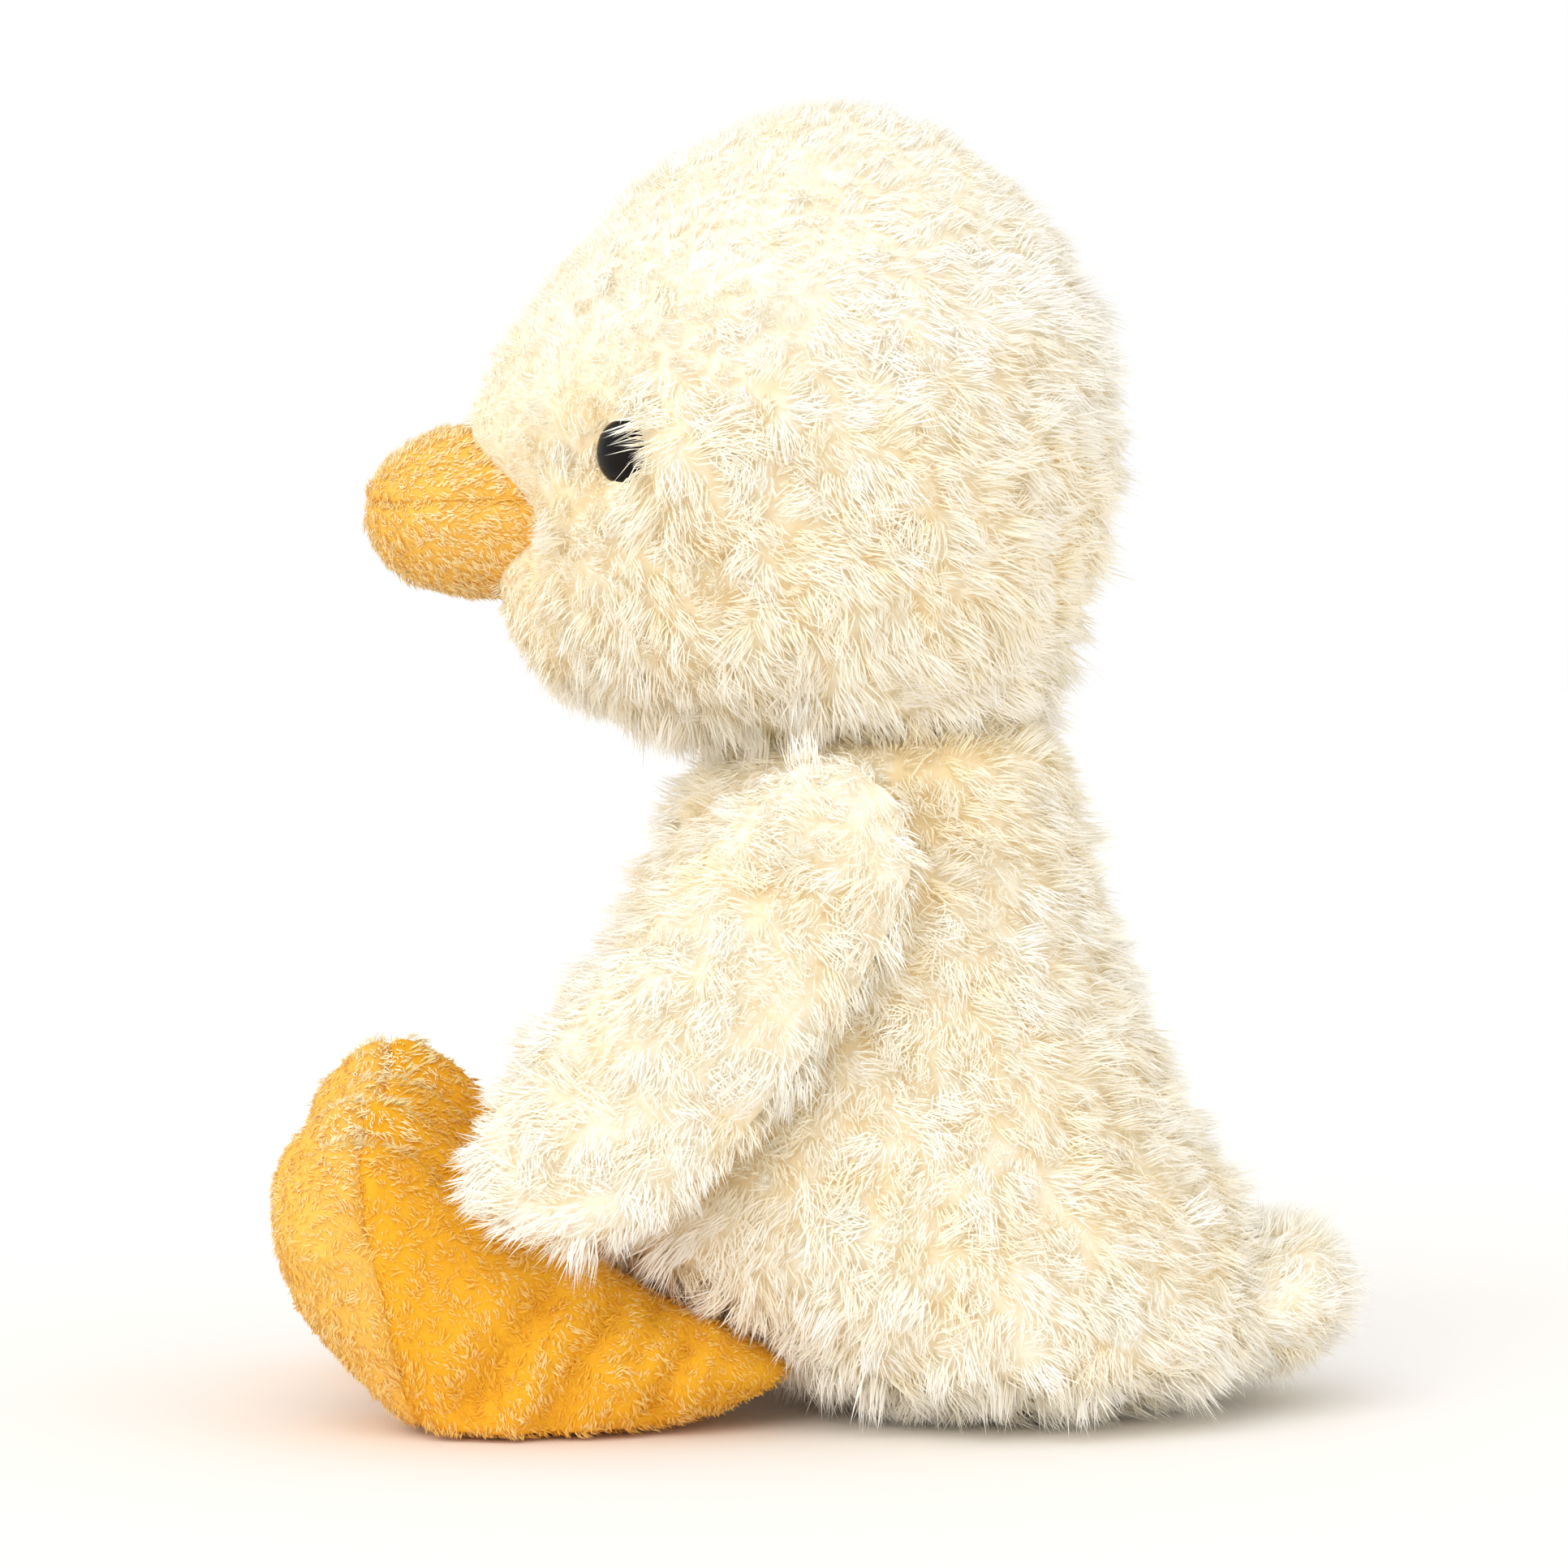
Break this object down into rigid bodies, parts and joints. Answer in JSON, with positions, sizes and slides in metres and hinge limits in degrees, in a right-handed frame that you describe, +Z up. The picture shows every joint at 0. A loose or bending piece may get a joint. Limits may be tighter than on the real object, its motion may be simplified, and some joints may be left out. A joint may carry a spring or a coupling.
{
  "type": "plush chick",
  "caption": "Sitting plush bird with long cream fur, short-nap orange beak and feet, glossy button eyes, hanging wings and a weighted base.",
  "frame": {"origin": "on the ground, under the middle of the toy's box", "axes": "+Z up, -Y the way the toy looks, +X its left side"},
  "size_m": [0.125, 0.1672, 0.2005],
  "materials": {
    "cream_fur": "long tufted cream plush fur, warm tan at the roots",
    "wing_fur": "long tufted cream plush fur, a little paler",
    "beak_nap": "short brushed golden nap",
    "foot_nap": "short brushed orange nap with soft creases",
    "sole_nap": "short brushed golden nap, paler",
    "eye_gloss": "polished black moulded button",
    "washer_plastic": "plain moulded, satin",
    "fibre": "loose white polyester fibre",
    "pellet_bag": "plain woven cotton over pellets"
  },
  "bodies": {
    "body": {"body_side_left": "cream_fur", "body_side_right": "cream_fur", "base_panel": "cream_fur", "bean_bag": "pellet_bag", "body_stuffing": "fibre"},
    "head": {"head_side_left": "cream_fur", "head_side_right": "cream_fur", "head_stuffing": "fibre", "eye_left": "eye_gloss", "eye_right": "eye_gloss", "eye_washer_left": "washer_plastic", "eye_washer_right": "washer_plastic", "beak_upper": "beak_nap", "beak_lower": "beak_nap", "beak_stuffing": "fibre"},
    "wing_left": {"wing_outer_left": "wing_fur", "wing_inner_left": "wing_fur", "wing_stuffing_left": "fibre"},
    "wing_right": {"wing_outer_right": "wing_fur", "wing_inner_right": "wing_fur", "wing_stuffing_right": "fibre"},
    "leg_left": {"foot_upper_left": "foot_nap", "foot_sole_left": "sole_nap", "foot_stuffing_left": "fibre"},
    "leg_right": {"foot_upper_right": "foot_nap", "foot_sole_right": "sole_nap", "foot_stuffing_right": "fibre"}
  },
  "joints": [
    {"name": "head_nod", "type": "hinge", "parent": "body", "child": "head", "pos_m": [0, 0.009, 0.087], "axis": [1, 0, 0], "range_deg": [-10, 10], "stiffness_Nm_per_rad": 0.6},
    {"name": "wing_left_lift", "type": "hinge", "parent": "body", "child": "wing_left", "pos_m": [0.034, 0.005, 0.1025], "axis": [0, -1, 0], "range_deg": [0, 55]},
    {"name": "wing_right_lift", "type": "hinge", "parent": "body", "child": "wing_right", "pos_m": [-0.034, 0.005, 0.1025], "axis": [0, 1, 0], "range_deg": [0, 55]},
    {"name": "leg_left_swing", "type": "hinge", "parent": "body", "child": "leg_left", "pos_m": [0.028, -0.007, 0.008], "axis": [-1, 0, 0], "range_deg": [-50, 6]},
    {"name": "leg_right_swing", "type": "hinge", "parent": "body", "child": "leg_right", "pos_m": [-0.028, -0.007, 0.008], "axis": [-1, 0, 0], "range_deg": [-50, 6]}
  ]
}
